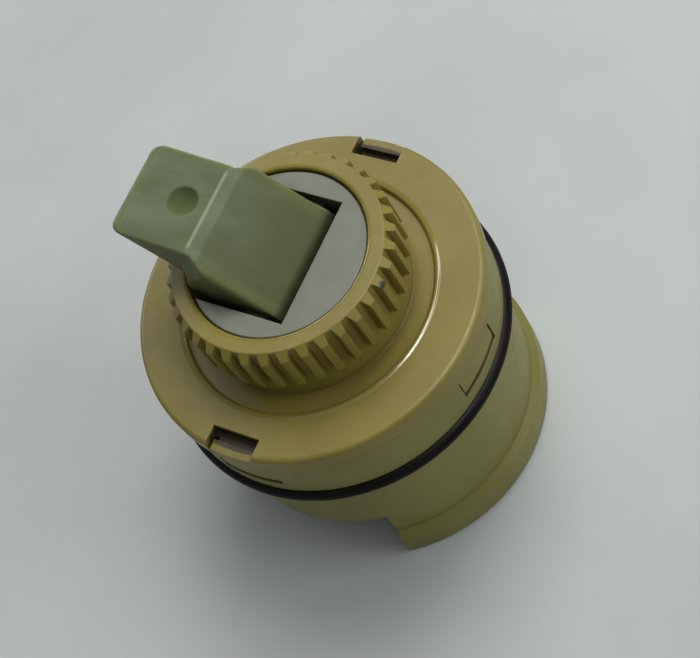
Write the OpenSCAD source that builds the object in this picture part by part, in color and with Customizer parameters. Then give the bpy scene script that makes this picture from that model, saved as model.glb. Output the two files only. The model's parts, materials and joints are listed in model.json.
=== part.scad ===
// Single-lever ceramic disc cartridge for a mixer tap, drawn closed and in mid temperature.
// The body axis is Z with the feet on Z = 0, and the lever pin lies along X.
// The front of the tap is towards -Y, so the closed lever leans back towards +Y.

/* [Cap] */
// Diameter of the cap's flange
flange_d = 40; // [38:0.5:44]
// Thickness of the flange
flange_t = 2.3; // [1.8:0.1:3]
// Rounding of the flange's upper edge
flange_round = 0.6; // [0.2:0.1:1]
// Height of the toothed collar above the flange
collar_h = 9.1; // [8:0.1:11]
// Diameter of the collar over its teeth
collar_d = 25.6; // [25:0.1:27]
// Bore of the collar, in which the rotor turns
collar_bore_d = 20.16; // [19.6:0.02:20.6]
// Number of teeth round the collar
tooth_count = 36; // [24:1:48]
// Depth of the teeth
tooth_depth = 0.85; // [0.5:0.05:1.1]
// Plain neck between the flange and the teeth
neck_h = 2.9; // [1.5:0.1:3.5]
// Outside diameter of the relief ring round the collar
relief_d = 29.4; // [28.5:0.1:31]
// Depth of the relief ring
relief_depth = 0.6; // [0.4:0.05:0.9]
// Rounding of the relief ring's outer edge and of the collar's mouth
edge_round = 0.3; // [0.1:0.05:0.35]
// Diameter of the index dimple on the front tooth
index_d = 0.9; // [0.6:0.05:1.1]

/* [Body] */
// Diameter of the body wall below the body seal
lower_wall_d = 36.4; // [36:0.1:37]
// Thickness of that wall
lower_wall_t = 1.9; // [1.6:0.1:2.2]
// Step from the flange's rim in to the wall above the body seal
rim_step = 0.4; // [0.2:0.05:0.7]
// Thickness of the wall above the body seal
upper_wall_t = 1.6; // [1.3:0.1:1.8]
// Diameter of the foot ring
foot_d = 38.6; // [37.5:0.1:39.5]
// Height of the foot ring's straight rim
foot_rim_h = 3.8; // [2:0.1:5]
// Height of the outlet windows between the feet
window_h = 9; // [7.5:0.1:11]
// Angle that each outlet window takes out of the foot ring, forward from the side
window_front = 32; // [20:1:40]
// The same towards the back
window_back = 42; // [20:1:44]
// Thickness of the port deck
deck_t = 2.2; // [2.2:0.1:3.2]
// Section of the body seal ring
body_seal_section = 1.8; // [1.5:0.1:2.1]
// Height of the body seal ring above the feet
body_seal_z = 20.2; // [19.6:0.1:20.8]
// How far the body seal stands out past the flange
body_seal_proud = 0.3; // [0.1:0.05:0.5]

/* [Ports] */
// Distance of the hot and cold ports from the middle plane
inlet_x = 4.4; // [4.4:0.05:4.8]
// Distance of the hot and cold ports behind the axis
inlet_y = 5.5; // [5.2:0.1:6]
// Diameter of the hot and cold ports
inlet_d = 5; // [4:0.1:5.2]
// Distance of the mixed outlet in front of the axis
outlet_y = 6.6; // [6:0.1:7]
// Diameter of the mixed outlet
outlet_d = 6.4; // [5:0.1:6.8]
// Width of the rubber of the port seals
port_seal_w = 1; // [0.8:0.05:1.1]
// Depth of the port seals' grooves in the deck
port_groove_depth = 1.2; // [0.8:0.1:1.5]
// Height of the inlet seals in the feet of the spigots
inlet_seal_h = 1.6; // [1.2:0.1:2.4]

/* [Ceramic discs] */
// Thickness of the fixed disc
fixed_disc_t = 3.8; // [3.2:0.1:4.5]
// Thickness of the moving disc
moving_disc_t = 3.4; // [3:0.1:4.5]
// Diameter of the moving disc and of its carrier
moving_disc_d = 24.8; // [24.4:0.1:25.6]
// Width of the kidney ports in the fixed disc
kidney_w = 3.2; // [2.4:0.1:3.6]
// Angle between the end centres of a kidney port
kidney_span = 22; // [14:1:24]
// Radius of the rounded ends of the moving disc's window
chamber_r = 5.1; // [4.6:0.05:5.2]
// Thickness of the noise screen
screen_t = 1; // [0.6:0.1:1.4]
// Diameter of the noise screen's holes
screen_hole_d = 1.2; // [0.8:0.1:1.4]

/* [Carrier and rotor] */
// Thickness of the carrier's plate
carrier_plate_t = 2.8; // [2.6:0.1:3.6]
// Height of the carrier's boss above its plate
carrier_boss_h = 3; // [2.6:0.1:3.6]
// Width of the carrier's boss between the rotor's guide cheeks
carrier_boss_w = 18.4; // [17.4:0.1:18.8]
// Length of the carrier's boss along its slide
carrier_boss_l = 13; // [11:0.1:14]
// Diameter of the rotor's flange
rotor_flange_d = 28; // [27:0.1:28.4]
// Thickness of the rotor's flange
rotor_flange_t = 1.95; // [1.6:0.05:2.6]
// Depth of the rotor's top below the collar's top
rotor_drop = 0.4; // [0.3:0.1:1.2]
// Width of the lever slot in the rotor's top
slot_w = 14.8; // [14.2:0.1:15.2]
// Distance of the slot's front wall from the axis
slot_front = 4.4; // [3.9:0.1:4.8]
// Thickness of the slip ring over the rotor's flange
slip_ring_t = 0.8; // [0.5:0.1:1.2]
// Turn of the rotor each way from mid temperature
rotor_turn = 50; // [40:1:55]

/* [Lever] */
// Depth of the pin's axis below the collar's top
pivot_drop = 3.7; // [3.4:0.1:4]
// Diameter of the pin
pin_d = 3; // [2.6:0.1:3.2]
// Lean of the closed lever's bar from upright
lever_lean = 46.5; // [44:0.5:47]
// Tilt of the lever from closed to fully open
lever_tilt = 24; // [20:1:26]
// Width of the lever's head
lever_w = 10.9; // [10:0.1:11.4]
// Width of the lever below its shoulders
lever_root_w = 13.2; // [12.4:0.1:13.4]
// Height of the sloped shoulders, just under the crease
lever_shoulder_h = 2; // [0.6:0.1:3]
// Distance of the root's upright back from the pin's axis, when the lever is closed
lever_root_back = 7.2; // [6:0.1:7.6]
// Rounding of the lever's long edges
lever_edge_round = 0.6; // [0.3:0.05:0.9]
// Distance of the lever's front face from the pin's axis
lever_front = 3.5; // [3.2:0.1:3.6]
// Distance of the lever's back face from the pin's axis
lever_back = 2.6; // [2:0.1:3]
// Length of the front face from the pin to the crease
lever_front_len = 10.4; // [9:0.1:11.5]
// Length of the back face from the pin to the tip
lever_back_len = 18.3; // [16:0.1:19]
// Length of the bevel on each side of the crease
lever_bevel = 0.75; // [0.3:0.05:1.2]
// Rounding of the tip's corners
lever_round = 1.2; // [0.5:0.1:1.6]
// Diameter of the screw dimple in the lever's top face
dimple_d = 3.6; // [2.4:0.1:4]
// Depth of the screw dimple
dimple_depth = 1.1; // [0.6:0.1:1.4]
// Shift of the screw dimple from the top face's middle towards the crease
dimple_shift = 1.2; // [0:0.1:2]
// Width of the lever's finger, along the pin
finger_w = 5.6; // [4.8:0.1:6]
// Thickness of the lever's finger, along the slide
finger_t = 4; // [3.4:0.1:4.4]
// Radius of the rolled end of the finger
finger_end_r = 2.3; // [2:0.05:2.5]

/* [Snap hooks] */
// Width of the four snap hooks
hook_w = 7.2; // [5:0.1:7.6]
// Thickness of a hook's leg
hook_t = 1.4; // [1.1:0.1:1.6]
// Height of a hook's nose
hook_nose_h = 2.8; // [2:0.1:3]
// Width of the mould openings over the side hooks
opening_w = 5.9; // [4.6:0.1:6.6]
// Radial depth of the mould openings
opening_depth = 1.3; // [1:0.1:1.7]
// Drop of the flange's rim outside those openings
lip_drop = 0.7; // [0.3:0.1:1.2]

/* [Clearances] */
// Radial clearance of the rotor in the collar and of the lever on its pin
run_clear = 0.08; // [0.03:0.01:0.1]
// Clearance between sliding flats and under the rotor's cheeks
slide_clear = 0.1; // [0.05:0.01:0.2]
// Film between the lapped discs and over the slip ring
film = 0.04; // [0.02:0.01:0.06]
// Loose clearance between pieces that must not touch
loose_clear = 0.2; // [0.15:0.05:0.3]
// Height by which the port seals lift the fixed disc off the deck
seal_lift = 0.3; // [0.2:0.05:0.4]

/* [Hidden] */
$fn = 128;
// Overshoot of cutting shapes past the faces that they cut
cut = 0.5;

// Wall left over each outlet window, under the deck
lintel_h = 0.3;

// Heights of the stack, from the feet up
deck_z = window_h + lintel_h;
deck_top = deck_z + deck_t;
fixed_z = deck_top + seal_lift;
moving_z = fixed_z + fixed_disc_t + film;
carrier_z = moving_z + moving_disc_t;
plate_top = carrier_z + carrier_plate_t;
boss_top = plate_top + carrier_boss_h;
rotor_z = boss_top + loose_clear;
slip_z = rotor_z + rotor_flange_t + film;
flange_z = slip_z + slip_ring_t;
flange_top = flange_z + flange_t;
collar_top = flange_top + collar_h;
rotor_top = collar_top - rotor_drop;
pivot_z = collar_top - pivot_drop;

// Radii of the housing
flange_r = flange_d / 2;
lower_wall_r = lower_wall_d / 2;
disc_bore_r = lower_wall_r - lower_wall_t;
upper_wall_r = flange_r - rim_step;
upper_bore_r = upper_wall_r - upper_wall_t;
foot_r = foot_d / 2;
collar_r = collar_d / 2;
collar_root_r = collar_r - tooth_depth;
collar_bore_r = collar_bore_d / 2;
relief_r = relief_d / 2;
relief_wall_r = relief_r - edge_round;
relief_foot = 0.2;
collar_chamfer = tooth_depth + 0.1;
foot_slope_h = foot_r - lower_wall_r;
foot_chamfer = 0.4;

// Body seal, its groove and the shoulder under it
body_seal_r = body_seal_section / 2;
body_seal_ring_r = flange_r + body_seal_proud - body_seal_r;
groove_side = 0.15;
groove_bottom_r = body_seal_ring_r - body_seal_r - film;
groove_z = body_seal_z - body_seal_r - groove_side;
groove_h = body_seal_section + 2 * groove_side;
shoulder_r = upper_wall_r - groove_side;
shoulder_h = 1.1;
ledge_z = groove_z + groove_h + shoulder_h;

// Tooth flanks: the gap's share of the pitch at the tips, and its root's share of that
tooth_pitch = 360 / tooth_count;
gap_share = 0.62;
root_share = 0.55;
tooth_gap_tip = gap_share * PI * collar_d / tooth_count;
tooth_gap_root = root_share * tooth_gap_tip;
index_depth = 0.6;
index_z = collar_top - collar_chamfer;

// Snap hooks, their wall windows and the mould openings over the side hooks
hook_angles = [0, 90, 180, 270];
hook_out_r = upper_bore_r - loose_clear;
hook_in_r = hook_out_r - hook_t;
hook_bottom = ledge_z + 2 * loose_clear;
hook_nose_z = hook_bottom + loose_clear;
hook_nose_r = upper_wall_r - slide_clear;
hook_ramp = 0.5;
hook_gap = 0.2;
opening_in_r = hook_out_r - hook_gap - loose_clear;
opening_out_r = opening_in_r + opening_depth;
lip_slit = 0.45;

// Key ribs that hold the fixed disc against turning
key_w = 2.4;
key_depth = 1.1;
key_in_r = disc_bore_r - key_depth;
key_h = seal_lift + fixed_disc_t;
fixed_disc_r = disc_bore_r - loose_clear;

// Ports, seals and spigots
inlet_r = inlet_d / 2;
outlet_r = outlet_d / 2;
groove_wall = 0.55;
seat_side = 0.05;
inlet_seat_r = inlet_r + groove_wall;
outlet_seat_r = outlet_r + groove_wall;
port_seal_h = port_groove_depth + seal_lift;
foot_seal_land = 0.35;
foot_seal_w = 1;
foot_seal_in_r = inlet_r + foot_seal_land;
foot_seal_out_r = foot_seal_in_r + foot_seal_w;
spigot_wall = 0.75;
spigot_r = foot_seal_out_r + seat_side + spigot_wall;
inlet_reach = norm([inlet_x, inlet_y]);
inlet_angle = atan2(inlet_y, inlet_x);

// Lever, its finger and the stroke that it gives the moving disc
finger_z = plate_top + 1.5;
finger_len = pivot_z - finger_z;
half_tilt = lever_tilt / 2;
half_stroke = finger_len * sin(half_tilt);
pin_r = pin_d / 2;
pin_l = collar_bore_d - 0.8;
boss_clear = 0.5;
socket_side = 0.15;
socket_floor = finger_z - finger_end_r - 2 * loose_clear;
end_slope = atan2(lever_back_len - lever_front_len, lever_front + lever_back);
shoulder_z = lever_front_len - lever_shoulder_h;
dimple_sphere_r = (dimple_d * dimple_d / 4 + dimple_depth * dimple_depth) / (2 * dimple_depth);
root_end_w = lever_root_w - 2 * slide_clear;
pivot_boss_w = slot_w - 2 * loose_clear;
pivot_boss_r = pin_r + 0.7;

// Moving disc's water window, its screen ledge and its seal, in the disc's own frame
chamber_front = -4.7;
chamber_back = -1.1;
screen_ledge_w = 0.5;
screen_r = chamber_r + screen_ledge_w;
screen_z = carrier_z - screen_t - film;
carrier_seal_in_r = screen_r + 0.3;
carrier_seal_out_r = carrier_seal_in_r + 1;
carrier_seal_h = 1;
lug_w = 4;
lug_in_r = moving_disc_d / 2 - 1.4;
lug_h = 2;
screen_pitch = 2.1;
screen_rows = 2;
screen_columns = 3;

// Rotor's guide cheeks, slots and turning stop
hub_r = collar_bore_r - run_clear;
hub_chamfer = 0.2;
rotor_flange_r = rotor_flange_d / 2;
cheek_in = carrier_boss_w / 2 + slide_clear;
cheek_t = 2;
cheek_l = 13;
cheek_z = plate_top + film;
slot_floor = pivot_z - lever_front - boss_clear;
finger_slot_w = finger_w + 4 * loose_clear;
finger_slot_half = half_stroke + finger_end_r + 2 * loose_clear;
stop_half_angle = 6;
stop_play = 1;
stop_rib_angle = 8;
stop_r = hook_in_r - 3 * loose_clear;
stop_rib_in_r = rotor_flange_r + 2 * loose_clear;
stop_rib_out_r = hook_in_r - loose_clear;
stop_rib_z = rotor_z + loose_clear;
slip_in_r = collar_bore_r + loose_clear;
slip_out_r = rotor_flange_r + loose_clear;
slip_lip_h = slip_ring_t - slide_clear;
slip_lip_in_r = slip_out_r + slide_clear;
slip_lip_out_r = slip_lip_in_r + 0.8;

// Colours of the materials
tan_plastic = [0.62, 0.55, 0.34];
olive_plastic = [0.56, 0.54, 0.37];
green_plastic = [0.50, 0.57, 0.42];
white_plastic = [0.72, 0.73, 0.69];
rubber = [0.05, 0.05, 0.05];
alumina = [0.90, 0.89, 0.85];
steel = [0.70, 0.70, 0.72];

// A flat ring with a hole
module ring(out_r, in_r, h) {
    difference() {
        cylinder(r = out_r, h = h);
        translate([0, 0, -cut]) cylinder(r = in_r, h = h + 2 * cut);
    }
}

// A stretch of a flat ring between two angles
module sector(in_r, out_r, from, to, h) {
    rotate([0, 0, from])
        rotate_extrude(angle = to - from)
            translate([in_r, 0]) square([out_r - in_r, h]);
}

// A kidney-shaped prism on the radius r, centred on the X axis
module kidney(r, w, span, h) {
    sector(r - w / 2, r + w / 2, -span / 2, span / 2, h);
    for (end = [-span / 2, span / 2])
        rotate([0, 0, end]) translate([r, 0, 0]) cylinder(d = w, h = h);
}

// Outline of the water window, grown to end radius r
module chamber_outline(r) {
    for (y = [chamber_front, chamber_back])
        translate([0, y]) circle(r);
    translate([-r, chamber_front]) square([2 * r, chamber_back - chamber_front]);
}

// A seal ring of flat foot and rounded lip, standing on Z = 0
module lip_seal(in_r, w, h) {
    rotate_extrude() {
        translate([in_r, 0]) square([w, h - w / 2]);
        translate([in_r + w / 2, h - w / 2]) circle(d = w);
    }
}

// Places a child on each of the two inlet ports
module at_inlets() {
    for (side = [-1, 1])
        translate([side * inlet_x, inlet_y, 0]) children();
}

// Places a child where the moving disc stands when the tap is closed
module at_closed_disc() {
    translate([0, -half_stroke, 0]) children();
}

// Outline of the collar with its teeth, as seen from above
module tooth_outline() {
    difference() {
        circle(collar_r);
        for (i = [0 : tooth_count - 1])
            rotate((i + 0.5) * tooth_pitch)
                polygon([[collar_root_r, -tooth_gap_root / 2], [collar_r + cut, -tooth_gap_tip / 2 - cut / 2],
                         [collar_r + cut, tooth_gap_tip / 2 + cut / 2], [collar_root_r, tooth_gap_root / 2]]);
        circle(collar_bore_r);
    }
}

// Envelope of the toothed collar, bevelled so that the teeth run out just below its top
module collar_envelope() {
    teeth_z = flange_top + neck_h;
    straight_h = collar_top - teeth_z - collar_chamfer;
    translate([0, 0, teeth_z]) cylinder(r = collar_r, h = straight_h);
    translate([0, 0, teeth_z + straight_h])
        cylinder(r1 = collar_r, r2 = collar_r - collar_chamfer, h = collar_chamfer);
}

module toothed_collar() {
    intersection() {
        translate([0, 0, flange_top]) linear_extrude(collar_h) tooth_outline();
        collar_envelope();
    }
    translate([0, 0, flange_z]) ring(collar_root_r, collar_bore_r, collar_top - flange_z - collar_chamfer);
}

// Section of the relief ring round the collar, hollowed at its foot and rounded over at its edge
module relief_section() {
    floor_y = flange_t - relief_depth;
    translate([collar_root_r, floor_y])
        square([relief_wall_r - relief_foot - collar_root_r, relief_depth + cut]);
    translate([collar_root_r, floor_y + relief_foot])
        square([relief_wall_r - collar_root_r, relief_depth + cut]);
    translate([relief_wall_r - relief_foot, floor_y + relief_foot]) circle(relief_foot);
    difference() {
        translate([collar_root_r, flange_t - edge_round])
            square([relief_r - collar_root_r, edge_round + cut]);
        translate([relief_r, flange_t - edge_round]) circle(edge_round);
    }
}

// Section of the flange, with its rounded rim and the relief ring
module flange_section() {
    difference() {
        union() {
            translate([collar_bore_r, 0]) square([flange_r - collar_bore_r, flange_t - flange_round]);
            translate([collar_bore_r, 0]) square([flange_r - flange_round - collar_bore_r, flange_t]);
            translate([flange_r - flange_round, flange_t - flange_round]) circle(flange_round);
        }
        relief_section();
    }
}

// What rounding the collar's mouth takes away
module mouth_rounding() {
    translate([0, 0, collar_top])
        rotate_extrude()
            difference() {
                translate([collar_bore_r - cut, -edge_round]) square([edge_round + cut, edge_round + cut]);
                translate([collar_bore_r + edge_round, -edge_round]) circle(edge_round);
            }
}

// One snap hook, hanging from the flange on the +X side
module snap_hook() {
    intersection() {
        union() {
            translate([0, 0, hook_bottom]) ring(hook_out_r, hook_in_r, flange_z + cut - hook_bottom);
            rotate_extrude()
                polygon([[hook_out_r - cut, hook_nose_z], [hook_nose_r - hook_ramp, hook_nose_z],
                         [hook_nose_r, hook_nose_z + hook_ramp], [hook_nose_r, hook_nose_z + hook_nose_h],
                         [hook_out_r - cut, hook_nose_z + hook_nose_h]]);
        }
        translate([0, -hook_w / 2, 0]) cube([flange_r, hook_w, flange_z + flange_t / 2]);
    }
}

// Mould opening over a side hook, with the lowered rim and the end slit outside it
module side_opening() {
    translate([opening_in_r, -opening_w / 2, flange_z + flange_t / 2 - cut])
        cube([opening_depth, opening_w, flange_t + cut]);
    translate([opening_out_r - cut, -opening_w / 2, flange_top - lip_drop])
        cube([flange_r, opening_w, flange_t]);
    translate([opening_in_r + opening_depth / 2, opening_w / 2 - lip_slit, flange_z - cut])
        cube([flange_r, lip_slit, flange_t + 2 * cut]);
}

// Stops that end the rotor's turn, hung under the flange behind the collar
module turn_stops() {
    start = rotor_turn + stop_half_angle + stop_play;
    translate([0, 0, stop_rib_z])
        for (from = [90 + start, 90 - start - stop_rib_angle])
            sector(stop_rib_in_r, stop_rib_out_r, from, from + stop_rib_angle, flange_z + cut - stop_rib_z);
}

module upper_housing() {
    color(tan_plastic)
        difference() {
            union() {
                translate([0, 0, flange_z]) rotate_extrude() flange_section();
                toothed_collar();
                for (a = hook_angles) rotate([0, 0, a]) snap_hook();
                turn_stops();
                translate([0, 0, flange_z - slip_lip_h])
                    ring(slip_lip_out_r, slip_lip_in_r, slip_lip_h + cut);
            }
            side_opening();
            mirror([1, 0, 0]) side_opening();
            mouth_rounding();
            translate([0, -collar_r + index_depth, index_z])
                rotate([90, 0, 0]) cylinder(d = index_d, h = 2 * index_depth);
        }
}

// Outer form of the body, from the foot ring to the flange's underside
module body_outside() {
    rotate_extrude() {
        polygon([[0, 0], [foot_r - foot_chamfer, 0], [foot_r, foot_chamfer], [foot_r, foot_rim_h],
                 [lower_wall_r, foot_rim_h + foot_slope_h], [0, foot_rim_h + foot_slope_h]]);
        square([lower_wall_r, groove_z]);
        translate([0, groove_z - shoulder_h]) square([shoulder_r, shoulder_h]);
        square([groove_bottom_r, flange_z]);
        translate([0, groove_z + groove_h]) square([upper_wall_r, flange_z - groove_z - groove_h]);
    }
}

module inlet_spigots() {
    at_inlets() cylinder(r = spigot_r, h = deck_top - cut);
    translate([-inlet_x, inlet_y - spigot_r / 2, 0]) cube([2 * inlet_x, spigot_r, deck_top - cut]);
}

// Windows between the feet, where the mixed water leaves
module outlet_windows() {
    span = window_front + window_back;
    for (from = [-window_front, 180 - window_back])
        translate([0, 0, -cut])
            sector(disc_bore_r - cut, flange_r, from, from + span, window_h + cut);
}

// Windows in the upper wall that catch the hooks' noses
module hook_windows() {
    for (a = hook_angles)
        rotate([0, 0, a])
            translate([hook_out_r - cut, -hook_w / 2 - hook_gap, hook_nose_z - hook_gap])
                cube([flange_r, hook_w + 2 * hook_gap, hook_nose_h + 2 * hook_gap]);
}

module port_cuts() {
    groove_z0 = deck_top - port_groove_depth;
    at_inlets() {
        translate([0, 0, -cut]) cylinder(r = inlet_r, h = deck_top + 2 * cut);
        translate([0, 0, -cut]) cylinder(r = foot_seal_out_r + seat_side, h = inlet_seal_h + cut);
        translate([0, 0, groove_z0])
            ring(inlet_seat_r + port_seal_w + seat_side, inlet_seat_r - seat_side, port_groove_depth + cut);
    }
    translate([0, -outlet_y, 0]) {
        cylinder(r = outlet_r, h = deck_top + cut);
        translate([0, 0, groove_z0])
            ring(outlet_seat_r + port_seal_w + seat_side, outlet_seat_r - seat_side, port_groove_depth + cut);
    }
}

module lower_housing() {
    color(olive_plastic)
        difference() {
            union() {
                difference() {
                    body_outside();
                    translate([0, 0, -cut]) cylinder(r = disc_bore_r, h = deck_z + cut);
                    translate([0, 0, deck_top]) cylinder(r = disc_bore_r, h = flange_z);
                    translate([0, 0, ledge_z]) cylinder(r = upper_bore_r, h = flange_z);
                    outlet_windows();
                    hook_windows();
                }
                inlet_spigots();
                for (side = [0, 180])
                    rotate([0, 0, side])
                        translate([key_in_r, -key_w / 2, deck_top - cut])
                            cube([key_depth + lower_wall_t / 2, key_w, key_h + cut]);
            }
            port_cuts();
        }
}

module body_o_ring() {
    color(rubber)
        translate([0, 0, body_seal_z])
            rotate_extrude() translate([body_seal_ring_r, 0]) circle(body_seal_r);
}

module slip_ring() {
    color(white_plastic) translate([0, 0, slip_z]) ring(slip_out_r, slip_in_r, slip_ring_t);
}

// Hub that turns in the collar, bevelled round its top edge
module rotor_hub() {
    translate([0, 0, rotor_z]) cylinder(r = hub_r, h = rotor_top - hub_chamfer - rotor_z);
    translate([0, 0, rotor_top - hub_chamfer])
        cylinder(r1 = hub_r, r2 = hub_r - hub_chamfer, h = hub_chamfer);
}

// Cheeks under the rotor's flange, between which the carrier slides
module guide_cheeks() {
    for (side = [-1, 1])
        translate([side * (cheek_in + cheek_t / 2) - cheek_t / 2, -cheek_l / 2, cheek_z])
            cube([cheek_t, cheek_l, rotor_z + cut - cheek_z]);
}

module rotor() {
    color(white_plastic)
        difference() {
            union() {
                rotor_hub();
                translate([0, 0, rotor_z]) cylinder(r = rotor_flange_r, h = rotor_flange_t);
                translate([0, 0, rotor_z])
                    sector(hub_r, stop_r, 90 - stop_half_angle, 90 + stop_half_angle, rotor_flange_t);
                guide_cheeks();
            }
            translate([-slot_w / 2, -slot_front, slot_floor])
                cube([slot_w, slot_front + flange_r, collar_h + flange_t]);
            translate([-finger_slot_w / 2, -finger_slot_half, rotor_z - cut])
                cube([finger_slot_w, 2 * finger_slot_half, slot_floor - rotor_z + 2 * cut]);
            translate([-flange_r, 0, pivot_z])
                rotate([0, 90, 0]) cylinder(r = pin_r + film / 2, h = flange_d);
        }
}

module lever_pin() {
    color(steel) translate([-pin_l / 2, 0, pivot_z]) rotate([0, 90, 0]) cylinder(r = pin_r, h = pin_l);
}

// Side view of what the crease and the sloped top face leave of the lever's bar,
// with Z running up the bar from the pin
module bar_top_side() {
    polygon([[-lever_front - cut, -cut],
             [-lever_front - cut, lever_front_len - lever_bevel - cut],
             [-lever_front, lever_front_len - lever_bevel],
             [-lever_front + lever_bevel * cos(end_slope), lever_front_len + lever_bevel * sin(end_slope)],
             [lever_back, lever_back_len],
             [lever_back + cut, lever_back_len + cut * tan(end_slope)],
             [lever_back + cut, -cut]]);
}

// Front view of what the sloped shoulders leave of the lever's root
module shoulder_front() {
    half_w = lever_w / 2;
    half_root = lever_root_w / 2;
    slope = (half_root - half_w) / lever_shoulder_h;
    polygon([[-half_root - cut, -cut], [half_root + cut, -cut],
             [half_root + cut, shoulder_z - cut / slope], [half_w - cut, lever_front_len + cut / slope],
             [-half_w + cut, lever_front_len + cut / slope], [-half_root - cut, shoulder_z - cut / slope]]);
}

// Front view of the lever's head, with the tip's corners rounded
module head_front() {
    inner_w = lever_w - 2 * lever_round;
    translate([-lever_w / 2 - cut, -cut]) square([lever_w + 2 * cut, lever_back_len - lever_round + cut]);
    translate([-inner_w / 2, 0]) square([inner_w, lever_back_len]);
    for (side = [-1, 1])
        translate([side * inner_w / 2, lever_back_len - lever_round]) circle(lever_round);
}

// Section across the lever's bar, with its long edges rounded
module bar_section(w) {
    r = lever_edge_round;
    translate([-w / 2 + r, -lever_front]) square([w - 2 * r, lever_front + lever_back]);
    translate([-w / 2, -lever_front + r]) square([w, lever_front + lever_back - 2 * r]);
    for (x = [-w / 2 + r, w / 2 - r], y = [-lever_front + r, lever_back - r])
        translate([x, y]) circle(r);
}

// A front view carried through the bar's thickness
module through_bar() {
    reach = lever_front + lever_back;
    translate([0, reach, 0]) rotate([90, 0, 0]) linear_extrude(2 * reach) children();
}

// The space in front of the root's back, which stands upright when the lever is closed
module before_root_back() {
    reach = 2 * lever_back_len;
    rotate([lever_lean, 0, 0])
        translate([-lever_root_w, lever_root_back - reach, -reach / 2])
            cube([2 * lever_root_w, reach, reach]);
}

module lever_bar() {
    intersection() {
        translate([-lever_root_w, 0, 0]) rotate([90, 0, 90]) linear_extrude(2 * lever_root_w) bar_top_side();
        union() {
            intersection() {
                linear_extrude(lever_front_len) bar_section(lever_root_w);
                through_bar() shoulder_front();
                before_root_back();
            }
            intersection() {
                linear_extrude(lever_back_len + cut) bar_section(lever_w);
                through_bar() head_front();
            }
        }
    }
}

// Finger below the pin, with a rolled end that works the carrier
module lever_finger() {
    translate([-finger_w / 2, -finger_t / 2, -finger_len]) cube([finger_w, finger_t, finger_len]);
    translate([-finger_w / 2, 0, -finger_len]) rotate([0, 90, 0]) cylinder(r = finger_end_r, h = finger_w);
}

module lever() {
    face_y = (lever_back - lever_front) / 2;
    face_z = (lever_front_len + lever_back_len) / 2;
    color(green_plastic)
        translate([0, 0, pivot_z])
            difference() {
                union() {
                    rotate([-lever_lean, 0, 0]) lever_bar();
                    rotate([-half_tilt, 0, 0]) lever_finger();
                    rotate([0, 90, 0]) cylinder(r = lever_front, h = root_end_w, center = true);
                    rotate([0, 90, 0]) cylinder(r = pivot_boss_r, h = pivot_boss_w, center = true);
                }
                rotate([0, 90, 0]) cylinder(r = pin_r + run_clear, h = 2 * lever_root_w, center = true);
                rotate([-lever_lean, 0, 0])
                    translate([0, face_y, face_z])
                        rotate([end_slope, 0, 0])
                            translate([0, -dimple_shift, dimple_sphere_r - dimple_depth])
                                rotate([0, -90, 0]) sphere(dimple_sphere_r);
            }
}

module disc_carrier() {
    color(white_plastic)
        at_closed_disc()
            difference() {
                union() {
                    translate([0, 0, carrier_z]) cylinder(d = moving_disc_d, h = carrier_plate_t);
                    intersection() {
                        translate([0, 0, carrier_z]) cylinder(d = moving_disc_d, h = boss_top - carrier_z);
                        translate([-carrier_boss_w / 2, -carrier_boss_l / 2, carrier_z])
                            cube([carrier_boss_w, carrier_boss_l, boss_top - carrier_z]);
                    }
                    for (side = [0, 180])
                        rotate([0, 0, side])
                            intersection() {
                                translate([0, 0, carrier_z - lug_h])
                                    cylinder(d = moving_disc_d, h = lug_h + cut);
                                translate([lug_in_r, -lug_w / 2, carrier_z - lug_h])
                                    cube([moving_disc_d, lug_w, lug_h + cut]);
                            }
                }
                translate([-finger_w / 2 - socket_side, -finger_end_r - socket_side, socket_floor])
                    cube([finger_w + 2 * socket_side, 2 * (finger_end_r + socket_side), boss_top]);
                translate([0, 0, carrier_z - cut])
                    linear_extrude(carrier_seal_h + cut)
                        difference() {
                            chamber_outline(carrier_seal_out_r + seat_side);
                            chamber_outline(carrier_seal_in_r - seat_side);
                        }
            }
}

module carrier_seal() {
    color(rubber)
        at_closed_disc()
            translate([0, 0, carrier_z])
                linear_extrude(carrier_seal_h)
                    difference() {
                        chamber_outline(carrier_seal_out_r);
                        chamber_outline(carrier_seal_in_r);
                    }
}

module noise_screen() {
    middle_y = (chamber_front + chamber_back) / 2;
    color(steel)
        at_closed_disc()
            difference() {
                translate([0, 0, screen_z]) linear_extrude(screen_t) chamber_outline(screen_r - seat_side);
                for (row = [-screen_columns : screen_columns], column = [-screen_rows : screen_rows])
                    if (norm([row * screen_pitch, column * screen_pitch]) < screen_r + screen_hole_d)
                        translate([column * screen_pitch, middle_y + row * screen_pitch, screen_z - cut])
                            cylinder(d = screen_hole_d, h = screen_t + 2 * cut);
            }
}

module moving_disc() {
    color(alumina)
        at_closed_disc()
            difference() {
                translate([0, 0, moving_z]) cylinder(d = moving_disc_d, h = moving_disc_t);
                translate([0, 0, moving_z - cut])
                    linear_extrude(moving_disc_t + 2 * cut) chamber_outline(chamber_r);
                translate([0, 0, screen_z]) linear_extrude(screen_t + film + cut) chamber_outline(screen_r);
                for (side = [0, 180])
                    rotate([0, 0, side])
                        translate([lug_in_r, -lug_w / 2, carrier_z - lug_h] - slide_clear * [1, 1, 1])
                            cube([moving_disc_d, lug_w + 2 * slide_clear, moving_disc_t]);
            }
}

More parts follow.
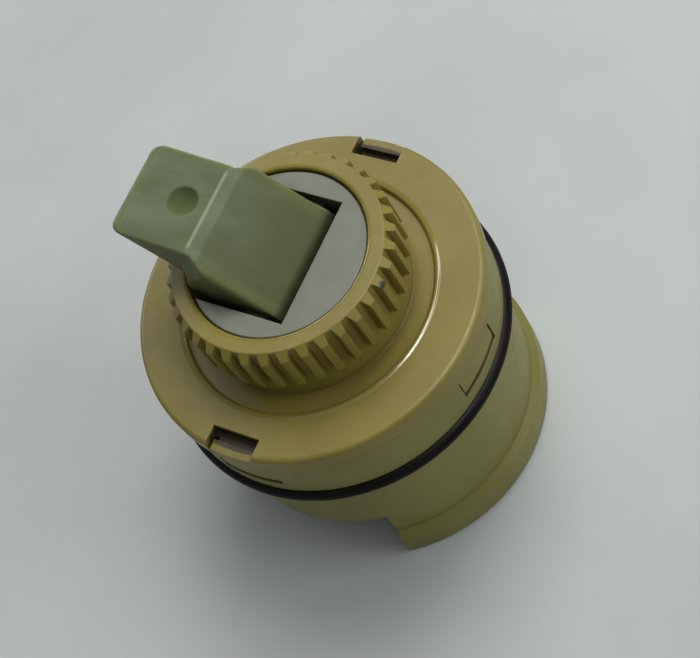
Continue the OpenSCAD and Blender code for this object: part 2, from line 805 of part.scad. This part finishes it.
module fixed_disc() {
    color(alumina)
        difference() {
            translate([0, 0, fixed_z]) cylinder(r = fixed_disc_r, h = fixed_disc_t);
            for (angle = [inlet_angle, 180 - inlet_angle])
                rotate([0, 0, angle])
                    translate([0, 0, fixed_z - cut])
                        kidney(inlet_reach, kidney_w, kidney_span, fixed_disc_t + 2 * cut);
            translate([0, -outlet_y, fixed_z - cut]) cylinder(r = outlet_r, h = fixed_disc_t + 2 * cut);
            for (side = [0, 180])
                rotate([0, 0, side])
                    translate([key_in_r - slide_clear, -key_w / 2 - slide_clear, fixed_z - cut])
                        cube([disc_bore_r, key_w + 2 * slide_clear, fixed_disc_t + 2 * cut]);
        }
}

// Port seal in the deck's groove, lifting the fixed disc
module port_seal(place, seat_r) {
    color(rubber)
        translate([place[0], place[1], deck_top - port_groove_depth])
            lip_seal(seat_r, port_seal_w, port_seal_h);
}

// Seal in the foot of an inlet spigot, drawn at its fitted height
module inlet_seal(side) {
    color(rubber)
        translate([side * inlet_x, inlet_y, 0]) ring(foot_seal_out_r, foot_seal_in_r, inlet_seal_h);
}

module hot_port_seal() { port_seal([-inlet_x, inlet_y], inlet_seat_r); }
module cold_port_seal() { port_seal([inlet_x, inlet_y], inlet_seat_r); }
module outlet_port_seal() { port_seal([0, -outlet_y], outlet_seat_r); }
module hot_inlet_seal() { inlet_seal(-1); }
module cold_inlet_seal() { inlet_seal(1); }

upper_housing();
lower_housing();
body_o_ring();
slip_ring();
rotor();
lever_pin();
lever();
disc_carrier();
carrier_seal();
noise_screen();
moving_disc();
fixed_disc();
hot_port_seal();
cold_port_seal();
outlet_port_seal();
hot_inlet_seal();
cold_inlet_seal();
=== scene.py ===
"""Looks of a single-lever ceramic disc cartridge: moulded plastics, rubber, alumina and steel on a pale floor."""

import json
import math

import bpy
from mathutils import Matrix, Vector

MM = 0.001

# Camera: where it looks, from which side, and how it is held
CAMERA_TARGET = Vector((-0.91, -3.99, 25.0)) * MM
CAMERA_AZIMUTH = math.radians(-31.67)
CAMERA_ELEVATION = math.radians(56.22)
CAMERA_ROLL = math.radians(-36.89)
CAMERA_DISTANCE = 196.96 * MM
CAMERA_LENS = 92.57
CAMERA_SENSOR = 36.0
CAMERA_CLIP = 10 * MM

# Lamps: name, azimuth and elevation in degrees, distance, width and height in metres, watts, lights matt surfaces
LAMPS = [
    ("key_lamp", 95, 62, 0.48, 0.28, 0.28, 1.45, True),
    ("side_lamp", 24, 30, 0.60, 0.30, 0.30, 0.8, True),
    ("window_lamp", 157, 28, 0.60, 0.30, 0.05, 1.6, False),
    ("ceiling_lamp", 35, 66, 0.60, 0.30, 0.12, 2.8, False),
]
SKY_BRIGHT = (0.61, 0.633, 0.644, 1.0)
SKY_DIM = (0.10, 0.104, 0.105, 1.0)
BACKDROP = (0.42, 0.44, 0.43, 1.0)
SKY_AZIMUTH = math.radians(50)
SKY_ELEVATION = math.radians(55)
FLOOR_SIZE = 1.6
FLOOR_DROP = 0.02 * MM
FLOOR_COLOUR = (0.475, 0.498, 0.482)

# Places on the closed lever: the middle of its dimple, where shade is painted, the upper edge of its crease,
# where a highlight is painted, and the top of its root, below which shade is painted
DIMPLE = Vector((0.0, 8.9, 45.6)) * MM
CREASE_Y = 5.88 * MM
CREASE_Z = 44.9 * MM
CREASE_WIDTH = 0.3 * MM
ROOT_Z = 39.5 * MM

# Round rims of the cap that handling has polished, each by its radius and height
RELIEF_RIM = (14.75 * MM, 30.13 * MM)
MOUTH_RIM = (10.20 * MM, 39.15 * MM)

# Glossy lip that moulding left along one side of a rim
LIP_RISE = 0.13 * MM
LIP_AZIMUTH = math.radians(-18)

# Rings of painted shade, each by its inner and outer radius, bottom and top: inside the mould openings and along
# the foot ledge
OPENING_RING = (15.2 * MM, 19.1 * MM, 27.5 * MM, 29.6 * MM)
LEDGE_RING = (17.9 * MM, 19.5 * MM, 3.9 * MM, 5.2 * MM)
RING_FADE = 0.25 * MM

# Painted shade of the index hole on the collar's front tooth: a dark spot standing in for the hole
INDEX_HOLE_SHADE = Vector((0.0, -12.75, 38.3)) * MM
INDEX_REACH = 0.55 * MM

# Rounding that moulding leaves on sharp corners, seen as a soft glint along them
EDGE_ROUND = 0.2 * MM

# Specular level of moulded plastic, on its plain faces and on a lip
PLASTIC_SHEEN = 0.34
LIP_SHEEN = 0.9

# A Mix node's colour sockets by number, because its sockets for other kinds of data share their names
MIX_SHARE, MIX_FIRST, MIX_SECOND, MIX_RESULT = 0, 6, 7, 2


def direction(azimuth, elevation):
    """Unit vector towards a lamp or the camera; azimuth 0 is the front and 90 degrees the right side."""
    level = math.cos(elevation)
    return Vector((math.sin(azimuth) * level, -math.cos(azimuth) * level, math.sin(elevation)))


# Building blocks of the materials

def fill_inputs(tree, node, inputs):
    """Links or sets a node's inputs by name or number."""
    for name, value in inputs.items():
        if isinstance(value, bpy.types.NodeSocket):
            tree.links.new(value, node.inputs[name])
        else:
            node.inputs[name].default_value = value


def shader_node(tree, kind, inputs=None, **settings):
    """A new node with its settings and inputs."""
    made = tree.nodes.new(kind)
    for name, value in settings.items():
        setattr(made, name, value)
    fill_inputs(tree, made, inputs or {})
    return made


def new_material(name):
    """An empty material with its shader and output, and the object's own coordinates."""
    material = bpy.data.materials.new(name)
    material.use_nodes = True
    tree = material.node_tree
    tree.nodes.clear()
    shader = shader_node(tree, "ShaderNodeBsdfPrincipled")
    output = shader_node(tree, "ShaderNodeOutputMaterial", {"Surface": shader.outputs["BSDF"]})
    output.is_active_output = True
    place = shader_node(tree, "ShaderNodeTexCoord").outputs["Object"]
    return material, tree, shader, place


def rgba(colour, factor=1.0):
    """A colour made darker or lighter by a factor, as an opaque shader value."""
    return tuple(c * factor for c in colour[:3]) + (1.0,)


def noise(tree, place, size, detail=3.0, roughness=0.55):
    """Noise whose features measure about size metres."""
    made = shader_node(
        tree, "ShaderNodeTexNoise",
        {"Vector": place, "Scale": 1.0 / size, "Detail": detail, "Roughness": roughness},
    )
    return made.outputs["Fac"]


def drawn_out(tree, place, scale):
    """Coordinates scaled along each axis, so that what is laid on them is drawn out where the scale is small."""
    return shader_node(tree, "ShaderNodeMapping", {"Vector": place, "Scale": scale}).outputs["Vector"]


def between(tree, value, low, high, out_low=0.0, out_high=1.0):
    """A value mapped from one span to another, and held there."""
    made = shader_node(
        tree, "ShaderNodeMapRange",
        {"Value": value, "From Min": low, "From Max": high, "To Min": out_low, "To Max": out_high},
        interpolation_type="SMOOTHSTEP",
    )
    return made.outputs["Result"]


def mixed(tree, share, first, second):
    """Two colours mixed by a share."""
    made = shader_node(
        tree, "ShaderNodeMix", {MIX_SHARE: share, MIX_FIRST: first, MIX_SECOND: second}, data_type="RGBA")
    return made.outputs[MIX_RESULT]


def product(tree, first, second):
    """Two values multiplied."""
    return shader_node(tree, "ShaderNodeMath", {0: first, 1: second}, operation="MULTIPLY").outputs[0]


def distance(tree, place, point):
    """How far a place lies from a point."""
    made = shader_node(tree, "ShaderNodeVectorMath", {0: place, 1: point}, operation="DISTANCE")
    return made.outputs["Value"]


def along(tree, place, way):
    """How far a place lies along a unit vector."""
    made = shader_node(tree, "ShaderNodeVectorMath", {0: place, 1: way}, operation="DOT_PRODUCT")
    return made.outputs["Value"]


def axes_of(tree, place):
    """The X, Y and Z of a place."""
    return shader_node(tree, "ShaderNodeSeparateXYZ", {"Vector": place}).outputs


def crevice(tree, reach):
    """How closed in a point is: 1 in a corner or groove, 0 in the open."""
    made = shader_node(tree, "ShaderNodeAmbientOcclusion", {"Distance": reach}, samples=8)
    return between(tree, made.outputs["AO"], 0.75, 0.25)


def edge(tree, reach):
    """How near a point is to an outer edge: 1 on the edge, 0 on the flat."""
    made = shader_node(tree, "ShaderNodeAmbientOcclusion", {"Distance": reach}, samples=8, inside=True)
    return between(tree, made.outputs["AO"], 0.62, 0.35)


def pushed(tree, height, depth, strength, normal):
    """A normal pushed by a height map of the given depth in metres."""
    made = shader_node(
        tree, "ShaderNodeBump", {"Height": height, "Distance": depth, "Strength": strength, "Normal": normal})
    return made.outputs["Normal"]


def bumped(tree, height, depth, strength, corner_round=EDGE_ROUND):
    """A normal rounded over at the corners and pushed by a height map."""
    corner = shader_node(tree, "ShaderNodeBevel", {"Radius": corner_round}, samples=6)
    return pushed(tree, height, depth, strength, corner.outputs["Normal"])


# Marks at places on the part

def section_place(tree, place):
    """Distance from the body's axis, and height."""
    axes = axes_of(tree, place)
    level = shader_node(tree, "ShaderNodeCombineXYZ", {"X": axes["X"], "Y": axes["Y"]}).outputs["Vector"]
    out = shader_node(tree, "ShaderNodeVectorMath", {0: level}, operation="LENGTH").outputs["Value"]
    return out, axes["Z"]


def rim_line(tree, place, radius, height):
    """A line round the body's axis at a radius and height: 1 on the line."""
    out, up = section_place(tree, place)
    section = shader_node(tree, "ShaderNodeCombineXYZ", {"X": out, "Z": up}).outputs["Vector"]
    return between(tree, distance(tree, section, (radius, 0.0, height)), 0.45 * MM, 0.1 * MM)


def rim_lip(tree, place, radius, height):
    """The side of a rim that carries the moulding's lip: 1 on the rim there, 0 on the far side."""
    side = along(tree, place, direction(LIP_AZIMUTH, 0.0))
    return product(
        tree, rim_line(tree, place, radius, height), between(tree, side, 0.45 * radius, 0.85 * radius))


def shade_ring(tree, place, inner, outer, bottom, top):
    """A ring round the body's axis, where shade is painted: 1 inside its bounds, fading over their edges."""
    out, up = section_place(tree, place)
    wide = product(
        tree, between(tree, out, inner - RING_FADE, inner), between(tree, out, outer + RING_FADE, outer))
    tall = product(
        tree, between(tree, up, bottom - RING_FADE, bottom), between(tree, up, top + RING_FADE, top))
    return product(tree, wide, tall)


def crease_highlight(tree, axes, across):
    """A thin line along the upper edge of the lever's crease, short of its ends, where a highlight is painted: 1
    on the line.
    """
    line = product(
        tree, between(tree, axes["Y"], CREASE_Y - CREASE_WIDTH, CREASE_Y),
        between(tree, axes["Y"], CREASE_Y + CREASE_WIDTH, CREASE_Y))
    line = product(tree, line, between(tree, across, 5.0 * MM, 4.2 * MM))
    return product(tree, line, between(tree, axes["Z"], CREASE_Z - 0.1 * MM, CREASE_Z))


# Materials

def moulded_plastic(
        name, colour, crevice_shade, crevice_shade_reach, worn_and_glint, roughness, glow, glow_reach,
        ring=None, ring_shade_colour=None, rims=(), lip=None, index_hole_shade=None):
    """Satin moulded plastic: cloudy pigment, fine mould grain, painted shade in corners, rings and an index hole,
    and rubbed edges lightened partly as a painted highlight.
    """
    material, tree, shader, place = new_material(name)
    clouds = noise(tree, place, size=9 * MM, detail=4)
    streaks = noise(tree, place, size=1.6 * MM, detail=5, roughness=0.65)
    # Painted shade: corners, grooves and recesses are darkened where shade falls.
    corners = product(tree, crevice(tree, crevice_shade_reach), between(tree, streaks, 0.25, 0.6, 0.6, 0.95))
    rubbed_edges_and_glint = product(tree, edge(tree, 0.35 * MM), between(tree, streaks, 0.3, 0.6, 0.15, 0.7))

    pigment = mixed(tree, between(tree, clouds, 0.35, 0.65), rgba(colour, 0.94), rgba(colour, 1.06))
    pigment = mixed(tree, between(tree, streaks, 0.5, 0.8, 0.0, 0.22), pigment, rgba(worn_and_glint))
    pigment = mixed(tree, corners, pigment, rgba(crevice_shade))
    # Painted shade inside the mould openings and along the foot ledge.
    if ring:
        pigment = mixed(tree, shade_ring(tree, place, *ring), pigment, rgba(ring_shade_colour))
    # Edges lightened: partly rubbed wear, partly a painted highlight along them.
    pigment = mixed(tree, rubbed_edges_and_glint, pigment, rgba(worn_and_glint))
    # Painted shade: a dark spot where the index hole would be.
    if index_hole_shade:
        spot = between(tree, distance(tree, place, index_hole_shade), INDEX_REACH, 0.5 * INDEX_REACH)
        pigment = mixed(tree, spot, pigment, rgba(crevice_shade, 0.25))

    gloss = between(tree, streaks, 0.3, 0.7, roughness - 0.06, roughness + 0.08)
    gloss = product(tree, gloss, between(tree, rubbed_edges_and_glint, 0.0, 0.6, 1.0, 0.55))
    for rim in rims:
        gloss = product(tree, gloss, between(tree, rim_line(tree, place, *rim), 0.0, 0.4, 1.0, 0.4))

    grain = noise(tree, place, size=0.22 * MM)
    normal = bumped(tree, grain, depth=0.012 * MM, strength=0.6)
    sheen = PLASTIC_SHEEN
    if lip:
        raised = rim_lip(tree, place, *lip)
        normal = pushed(tree, raised, LIP_RISE, 1.0, normal)
        sheen = between(tree, raised, 0.0, 0.3, PLASTIC_SHEEN, LIP_SHEEN)

    fill_inputs(tree, shader, {
        "Base Color": pigment, "Roughness": gloss, "Normal": normal, "IOR": 1.5, "Specular IOR Level": sheen,
        "Subsurface Weight": glow, "Subsurface Radius": (1.0, 0.75, 0.4), "Subsurface Scale": glow_reach,
    })
    return material


def clear_green_plastic(name, colour, root_shade, deep_tone_and_shade, dimple_shade, pale):
    """Translucent moulded plastic with a soft gloss and faint dark flow lines, painted shade on its lower root,
    its sides, its dimple, its crevices and along its edges, and a painted highlight along its crease.
    """
    material, tree, shader, place = new_material(name)
    flow = noise(tree, drawn_out(tree, place, (1.0, 0.35, 0.35)), size=4 * MM, detail=4)
    scuffs = noise(tree, place, size=0.9 * MM, detail=5, roughness=0.7)
    axes = axes_of(tree, place)
    across = shader_node(tree, "ShaderNodeMath", {0: axes["X"]}, operation="ABSOLUTE").outputs[0]
    hollow = between(tree, distance(tree, place, DIMPLE), 2.5 * MM, 0.8 * MM)
    rim = product(tree, edge(tree, 0.6 * MM), between(tree, scuffs, 0.2, 0.5, 0.4, 0.8))
    line = product(tree, crease_highlight(tree, axes, across), between(tree, flow, 0.2, 0.5, 0.5, 0.9))

    # Painted shade: the lever darkens from its crease down to its root.
    body = mixed(tree, between(tree, axes["Z"], CREASE_Z, ROOT_Z), rgba(colour), rgba(root_shade))
    # Painted shade on the lever's sides.
    body = mixed(tree, between(tree, across, 4.9 * MM, 5.5 * MM, 0.0, 0.8), body, rgba(root_shade, 1.35))
    body = mixed(tree, between(tree, flow, 0.68, 0.35, 0.0, 0.8), body, rgba(deep_tone_and_shade))
    body = mixed(tree, between(tree, scuffs, 0.58, 0.8, 0.0, 0.3), body, rgba(pale))
    # Painted shade in the dimple.
    body = mixed(tree, product(tree, hollow, 0.85), body, rgba(dimple_shade))
    # Painted shade in the lever's crevices.
    body = mixed(tree, crevice(tree, 4.5 * MM), body, rgba(deep_tone_and_shade, 0.5))
    # Painted shade along the lever's edges.
    body = mixed(tree, rim, body, rgba(deep_tone_and_shade, 0.6))
    # Painted highlight along the crease.
    body = mixed(tree, line, body, rgba(pale, 1.35))

    gloss = between(tree, scuffs, 0.3, 0.75, 0.4, 0.55)
    gloss = product(tree, gloss, between(tree, hollow, 0.0, 1.0, 1.0, 1.8))
    grain = noise(tree, place, size=0.3 * MM, detail=2)
    fill_inputs(tree, shader, {
        "Base Color": body, "Roughness": gloss,
        "Normal": bumped(tree, grain, depth=0.008 * MM, strength=0.5, corner_round=2.5 * EDGE_ROUND),
        "IOR": 1.49, "Specular IOR Level": 0.12,
        "Subsurface Weight": 0.7, "Subsurface Radius": (0.8, 1.0, 0.5), "Subsurface Scale": 2.5 * MM,
    })
    return material


def seal_rubber(name, colour, bloom, dust):
    """Black moulded rubber: satin, finely grained, with a little pale dust."""
    material, tree, shader, place = new_material(name)
    smear = noise(tree, place, size=5 * MM)
    specks = noise(tree, place, size=0.35 * MM, detail=5, roughness=0.75)
    coat = mixed(tree, between(tree, smear, 0.4, 0.7), rgba(colour), rgba(bloom))
    coat = mixed(tree, between(tree, specks, 0.66, 0.82, 0.0, 0.25), coat, rgba(dust))
    grain = noise(tree, place, size=0.12 * MM)
    fill_inputs(tree, shader, {
        "Base Color": coat, "Roughness": between(tree, smear, 0.3, 0.7, 0.4, 0.56),
        "Normal": bumped(tree, grain, depth=0.006 * MM, strength=0.5),
        "IOR": 1.5, "Specular IOR Level": 0.1,
    })
    return material


def lapped_alumina(name, shade, light, speck):
    """Fired alumina: warm white with a faint speckle and a lapped sheen."""
    material, tree, shader, place = new_material(name)
    clouds = noise(tree, place, size=3 * MM, detail=4)
    specks = shader_node(tree, "ShaderNodeTexVoronoi", {"Vector": place, "Scale": 1 / (0.5 * MM)})
    white = mixed(tree, between(tree, clouds, 0.3, 0.7), rgba(shade), rgba(light))
    white = mixed(tree, between(tree, specks.outputs["Distance"], 0.14, 0.05, 0.0, 0.4), white, rgba(speck))
    grain = noise(tree, place, size=0.1 * MM, detail=2)
    fill_inputs(tree, shader, {
        "Base Color": white, "Roughness": between(tree, clouds, 0.3, 0.7, 0.14, 0.3),
        "Normal": bumped(tree, grain, depth=0.002 * MM, strength=0.4), "IOR": 1.76,
    })
    return material


def ground_steel(name, colour, tarnish):
    """Ground stainless steel: fine lines along X and a light tarnish."""
    material, tree, shader, place = new_material(name)
    lines = noise(tree, drawn_out(tree, place, (0.03, 1.0, 1.0)), size=0.08 * MM)
    clouds = noise(tree, place, size=2 * MM, detail=4)
    fill_inputs(tree, shader, {
        "Base Color": mixed(tree, between(tree, clouds, 0.4, 0.7), rgba(colour), rgba(tarnish)),
        "Roughness": between(tree, lines, 0.3, 0.7, 0.22, 0.4),
        "Normal": bumped(tree, lines, depth=0.003 * MM, strength=0.5), "Metallic": 1.0,
    })
    return material


def floor_material():
    """A plain pale table top, slightly clouded."""
    material, tree, shader, place = new_material("floor_finish")
    clouds = noise(tree, place, size=45 * MM, detail=4)
    top = mixed(tree, between(tree, clouds, 0.35, 0.65), rgba(FLOOR_COLOUR, 0.96), rgba(FLOOR_COLOUR, 1.04))
    fill_inputs(tree, shader, {"Base Color": top, "Roughness": 0.7, "Specular IOR Level": 0.2})
    return material


def make_finishes():
    """One material for each of the record's slots."""
    # The darker colours below paint shade: in corners and recesses, inside the mould openings, along the foot
    # ledge and at the index hole; the worn colours also paint a highlight along edges.
    return {
        "tan_plastic": moulded_plastic(
            "tan_plastic_finish",
            colour=(0.212, 0.168, 0.028), crevice_shade=(0.070, 0.050, 0.009), crevice_shade_reach=2.2 * MM,
            worn_and_glint=(0.272, 0.227, 0.060), roughness=0.40, glow=0.15, glow_reach=0.5 * MM,
            ring=OPENING_RING, ring_shade_colour=(0.040, 0.027, 0.008),
            rims=(MOUTH_RIM, RELIEF_RIM), lip=RELIEF_RIM, index_hole_shade=INDEX_HOLE_SHADE),
        "olive_plastic": moulded_plastic(
            "olive_plastic_finish",
            colour=(0.194, 0.180, 0.047), crevice_shade=(0.057, 0.050, 0.011), crevice_shade_reach=2.2 * MM,
            worn_and_glint=(0.248, 0.234, 0.080), roughness=0.46, glow=0.15, glow_reach=0.6 * MM,
            ring=LEDGE_RING, ring_shade_colour=(0.165, 0.156, 0.032)),
        "white_plastic": moulded_plastic(
            "white_plastic_finish",
            # The rotor's corner shade reaches far: painted shade on the rotor next to the lever.
            colour=(0.176, 0.182, 0.142), crevice_shade=(0.035, 0.038, 0.014), crevice_shade_reach=5.0 * MM,
            worn_and_glint=(0.23, 0.24, 0.20), roughness=0.40, glow=0.3, glow_reach=0.8 * MM),
        # On the green lever the root, deep and dimple colours paint shade, and the pale colour also paints the
        # crease highlight.
        "green_plastic": clear_green_plastic(
            "green_plastic_finish",
            colour=(0.140, 0.166, 0.101), root_shade=(0.094, 0.106, 0.037), deep_tone_and_shade=(0.094, 0.111, 0.046),
            dimple_shade=(0.098, 0.124, 0.030), pale=(0.20, 0.235, 0.14)),
        "black_rubber": seal_rubber(
            "black_rubber_finish",
            colour=(0.0018, 0.0016, 0.0012), bloom=(0.005, 0.0048, 0.0042), dust=(0.07, 0.068, 0.055)),
        "alumina": lapped_alumina(
            "alumina_finish", shade=(0.76, 0.74, 0.68), light=(0.84, 0.83, 0.79), speck=(0.5, 0.47, 0.4)),
        "steel": ground_steel("steel_finish", colour=(0.55, 0.55, 0.56), tarnish=(0.45, 0.44, 0.42)),
    }


def dress_nodes(frame):
    """Gives every CAD node its finish."""
    finishes = make_finishes()
    for subpart in frame["record"]["subparts"]:
        node = frame["nodes"][subpart["node"]]
        node.data.materials.clear()
        node.data.materials.append(finishes[subpart["material_slot"]])


# Studio

def place_camera():
    """The camera at the photographed angle, rolled about its own axis."""
    side = Vector((math.cos(CAMERA_AZIMUTH), math.sin(CAMERA_AZIMUTH), 0.0))
    towards = direction(CAMERA_AZIMUTH, CAMERA_ELEVATION)
    over = towards.cross(side)
    right = math.cos(CAMERA_ROLL) * side + math.sin(CAMERA_ROLL) * over
    up = towards.cross(right)
    turn = Matrix((right, up, towards)).transposed()
    data = bpy.data.cameras.new("photo_camera")
    data.lens = CAMERA_LENS
    data.sensor_width = CAMERA_SENSOR
    data.sensor_fit = "HORIZONTAL"
    data.clip_start = CAMERA_CLIP
    camera = bpy.data.objects.new("photo_camera", data)
    camera.matrix_world = Matrix.Translation(CAMERA_TARGET + towards * CAMERA_DISTANCE) @ turn.to_4x4()
    bpy.context.scene.collection.objects.link(camera)
    bpy.context.scene.camera = camera


def place_lamps():
    """Soft lamps round the object, aimed at the camera's target."""
    for name, azimuth, elevation, away, width, height, watts, lights_matt in LAMPS:
        data = bpy.data.lights.new(name, "AREA")
        data.shape = "RECTANGLE"
        data.size = width
        data.size_y = height
        data.energy = watts
        lamp = bpy.data.objects.new(name, data)
        lamp.visible_diffuse = lights_matt
        aim = direction(math.radians(azimuth), math.radians(elevation))
        lamp.location = CAMERA_TARGET + aim * away
        lamp.rotation_euler = aim.to_track_quat("Z", "Y").to_euler()
        bpy.context.scene.collection.objects.link(lamp)


def light_sky():
    """A pale sky, brightest above and to the right, with a plain backdrop behind the floor."""
    world = bpy.data.worlds.new("studio")
    world.use_nodes = True
    tree = world.node_tree
    place = shader_node(tree, "ShaderNodeTexCoord").outputs["Generated"]
    towards = along(tree, place, direction(SKY_AZIMUTH, SKY_ELEVATION))
    glow = mixed(tree, between(tree, towards, 0.0, 1.0), SKY_DIM, SKY_BRIGHT)
    rays = shader_node(tree, "ShaderNodeLightPath").outputs
    seen = rays["Is Camera Ray"]
    for kind in ("Is Glossy Ray", "Is Transmission Ray"):
        seen = shader_node(tree, "ShaderNodeMath", {0: seen, 1: rays[kind]}, operation="MAXIMUM").outputs[0]
    fill_inputs(tree, tree.nodes["Background"], {"Color": mixed(tree, seen, glow, BACKDROP)})
    bpy.context.scene.world = world


def lay_floor():
    """The pale floor under the feet."""
    half = FLOOR_SIZE / 2
    corners = [(-half, -half, 0), (half, -half, 0), (half, half, 0), (-half, half, 0)]
    mesh = bpy.data.meshes.new("floor")
    mesh.from_pydata(corners, [], [(0, 1, 2, 3)])
    mesh.materials.append(floor_material())
    floor = bpy.data.objects.new("floor", mesh)
    floor.location.z = -FLOOR_DROP
    bpy.context.scene.collection.objects.link(floor)


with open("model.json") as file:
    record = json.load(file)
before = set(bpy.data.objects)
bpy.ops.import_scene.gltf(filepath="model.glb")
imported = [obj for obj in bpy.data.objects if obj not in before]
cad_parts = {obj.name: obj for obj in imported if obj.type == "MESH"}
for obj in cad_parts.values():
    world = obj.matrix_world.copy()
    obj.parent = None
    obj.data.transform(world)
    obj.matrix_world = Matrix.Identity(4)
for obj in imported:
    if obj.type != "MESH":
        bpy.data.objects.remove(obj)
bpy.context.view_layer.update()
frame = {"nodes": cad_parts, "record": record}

place_camera()
place_lamps()
light_sky()
lay_floor()
dress_nodes(frame)
bpy.context.scene.view_settings.view_transform = "Standard"
